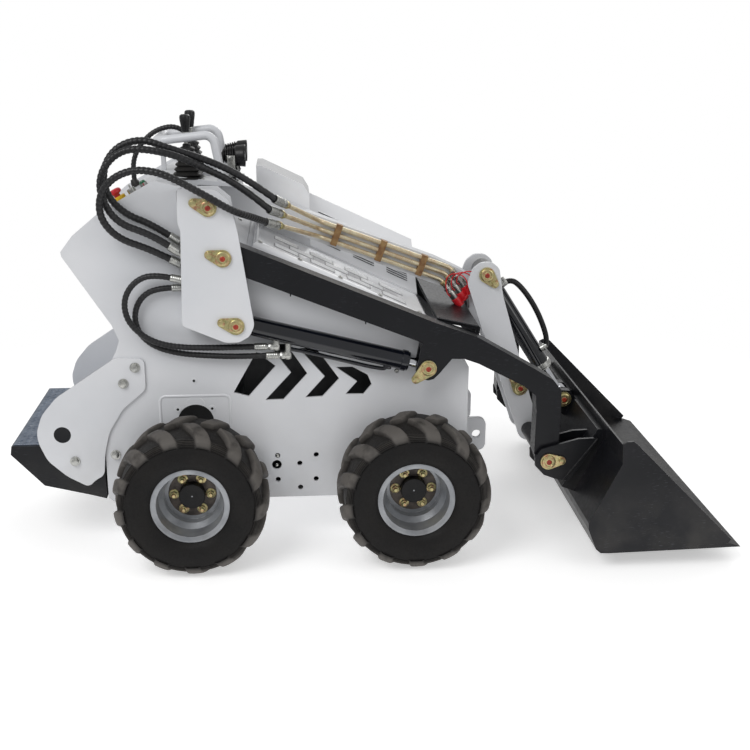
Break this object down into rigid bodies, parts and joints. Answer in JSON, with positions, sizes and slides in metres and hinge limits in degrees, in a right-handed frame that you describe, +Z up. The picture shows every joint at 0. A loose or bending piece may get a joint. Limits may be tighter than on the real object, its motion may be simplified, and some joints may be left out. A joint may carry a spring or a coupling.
{
  "type": "stand-on mini skid steer loader",
  "caption": "Stand-on mini skid steer loader on four lugged tyres, with white body, black loader arms, levelling link, hydraulic cylinders and a bucket.",
  "frame": {"origin": "middle of the loader's length and width, on the ground under the tyres", "axes": "+X forward towards the bucket, +Y to the driver's left, +Z up"},
  "size_m": [2.1844, 1.12, 1.3],
  "materials": {
    "painted_white": "gloss powder coat",
    "painted_black": "satin powder coat",
    "tyre_rubber": "matt",
    "rim_silver": "satin paint",
    "cylinder_paint": "gloss paint",
    "chrome_rod": "polished",
    "yellow_zinc": "yellow zinc plate",
    "white_zinc": "zinc plate",
    "clamp_paint": "satin",
    "tread_aluminium": "rolled tread",
    "boot_rubber": "matt",
    "black_plastic": "satin",
    "engine_grey": "matt",
    "motor_black": "satin"
  },
  "bodies": {
    "chassis": {"air_box": "painted_white", "arm_towers": "painted_white", "chassis_frame": "painted_white", "control_console": "painted_white", "deck_hood": "painted_white", "drive_levers": "black_plastic", "engine_block": "engine_grey", "handlebar": "painted_white", "lever_boots": "boot_rubber", "platform": "painted_black", "raised_cover": "painted_white", "rear_cowl": "painted_white", "rear_side_plates": "painted_white", "tower_pins": "yellow_zinc", "tread_plate": "tread_aluminium", "wheel_motors": "motor_black", "work_lamps": "black_plastic"},
    "boom": {"boom_frame": "painted_black", "boom_pins": "yellow_zinc"},
    "levelling_link": {"levelling_link": "painted_white", "hydraulic_pipes": "white_zinc", "pipe_clamps": "clamp_paint", "quick_couplers": "white_zinc"},
    "lever": {"lever_plates": "painted_white", "lever_pins": "yellow_zinc"},
    "tilt_barrel": {"tilt_barrel": "cylinder_paint"},
    "tilt_rod": {"tilt_rod": "chrome_rod"},
    "lift_barrel_right": {"lift_barrel_right": "cylinder_paint"},
    "lift_rod_right": {"lift_rod_right": "chrome_rod"},
    "lift_barrel_left": {"lift_barrel_left": "cylinder_paint"},
    "lift_rod_left": {"lift_rod_left": "chrome_rod"},
    "bucket": {"hitch_frame": "painted_black", "hitch_pins": "yellow_zinc", "bucket": "painted_black", "cutting_edge": "painted_black"},
    "wheel_rear_right": {"rim_rear_right": "rim_silver", "tyre_rear_right": "tyre_rubber"},
    "wheel_rear_left": {"rim_rear_left": "rim_silver", "tyre_rear_left": "tyre_rubber"},
    "wheel_front_right": {"rim_front_right": "rim_silver", "tyre_front_right": "tyre_rubber"},
    "wheel_front_left": {"rim_front_left": "rim_silver", "tyre_front_left": "tyre_rubber"}
  },
  "joints": [
    {"name": "wheel_rear_right", "type": "hinge", "parent": "chassis", "child": "wheel_rear_right", "pos_m": [-0.53925, -0.436, 0.2285], "axis": [0, 1, 0], "continuous": true},
    {"name": "wheel_rear_left", "type": "hinge", "parent": "chassis", "child": "wheel_rear_left", "pos_m": [-0.53925, 0.436, 0.2285], "axis": [0, 1, 0], "continuous": true},
    {"name": "wheel_front_right", "type": "hinge", "parent": "chassis", "child": "wheel_front_right", "pos_m": [0.11675, -0.436, 0.2285], "axis": [0, 1, 0], "continuous": true},
    {"name": "wheel_front_left", "type": "hinge", "parent": "chassis", "child": "wheel_front_left", "pos_m": [0.11675, 0.436, 0.2285], "axis": [0, 1, 0], "continuous": true},
    {"name": "boom_lift", "type": "hinge", "parent": "chassis", "child": "boom", "pos_m": [-0.42925, 0, 0.92], "axis": [0, -1, 0], "range_deg": [0, 80]},
    {"name": "link_swing", "type": "hinge", "parent": "chassis", "child": "levelling_link", "pos_m": [-0.46525, 0, 1.064], "axis": [0, -1, 0], "range_deg": [0, 80]},
    {"name": "lever_swing", "type": "hinge", "parent": "boom", "child": "lever", "pos_m": [0.54075, 0, 0.277], "axis": [0, -1, 0], "range_deg": [-80, 0]},
    {"name": "bucket_tilt", "type": "hinge", "parent": "lever", "child": "bucket", "pos_m": [0.54075, 0, 0.277], "axis": [0, -1, 0], "range_deg": [-50, 20]},
    {"name": "tilt_barrel_swing", "type": "hinge", "parent": "lever", "child": "tilt_barrel", "pos_m": [0.38275, 0, 0.799], "axis": [0, -1, 0], "range_deg": [-2.56, 1.33]},
    {"name": "tilt_rod_stroke", "type": "slide", "parent": "tilt_barrel", "child": "tilt_rod", "axis": [0.5419, 0, -0.8405], "range_m": [-0.0517, 0.12775]},
    {"name": "lift_barrel_swing_right", "type": "hinge", "parent": "chassis", "child": "lift_barrel_right", "pos_m": [-0.39825, -0.321, 0.721], "axis": [0, -1, 0], "range_deg": [0, 75.01]},
    {"name": "lift_rod_stroke_right", "type": "slide", "parent": "lift_barrel_right", "child": "lift_rod_right", "axis": [0.9693, 0, -0.2458], "range_m": [0, 0.25212]},
    {"name": "lift_barrel_swing_left", "type": "hinge", "parent": "chassis", "child": "lift_barrel_left", "pos_m": [-0.39825, 0.321, 0.721], "axis": [0, -1, 0], "range_deg": [0, 75.01]},
    {"name": "lift_rod_stroke_left", "type": "slide", "parent": "lift_barrel_left", "child": "lift_rod_left", "axis": [0.9693, 0, -0.2458], "range_m": [0, 0.25212]}
  ],
  "couplings": [
    {"joint": "link_swing", "follows": "boom_lift", "ratio": 1},
    {"joint": "lever_swing", "follows": "boom_lift", "ratio": -1},
    {"joint": "tilt_barrel_swing", "follows": "bucket_tilt", "ratio": 0.0413},
    {"joint": "tilt_rod_stroke", "follows": "bucket_tilt", "m_per_rad": -0.14525},
    {"joint": "lift_barrel_swing_right", "follows": "boom_lift", "ratio": 0.9351},
    {"joint": "lift_rod_stroke_right", "follows": "boom_lift", "m_per_rad": 0.17985},
    {"joint": "lift_barrel_swing_left", "follows": "boom_lift", "ratio": 0.9351},
    {"joint": "lift_rod_stroke_left", "follows": "boom_lift", "m_per_rad": 0.17985}
  ]
}
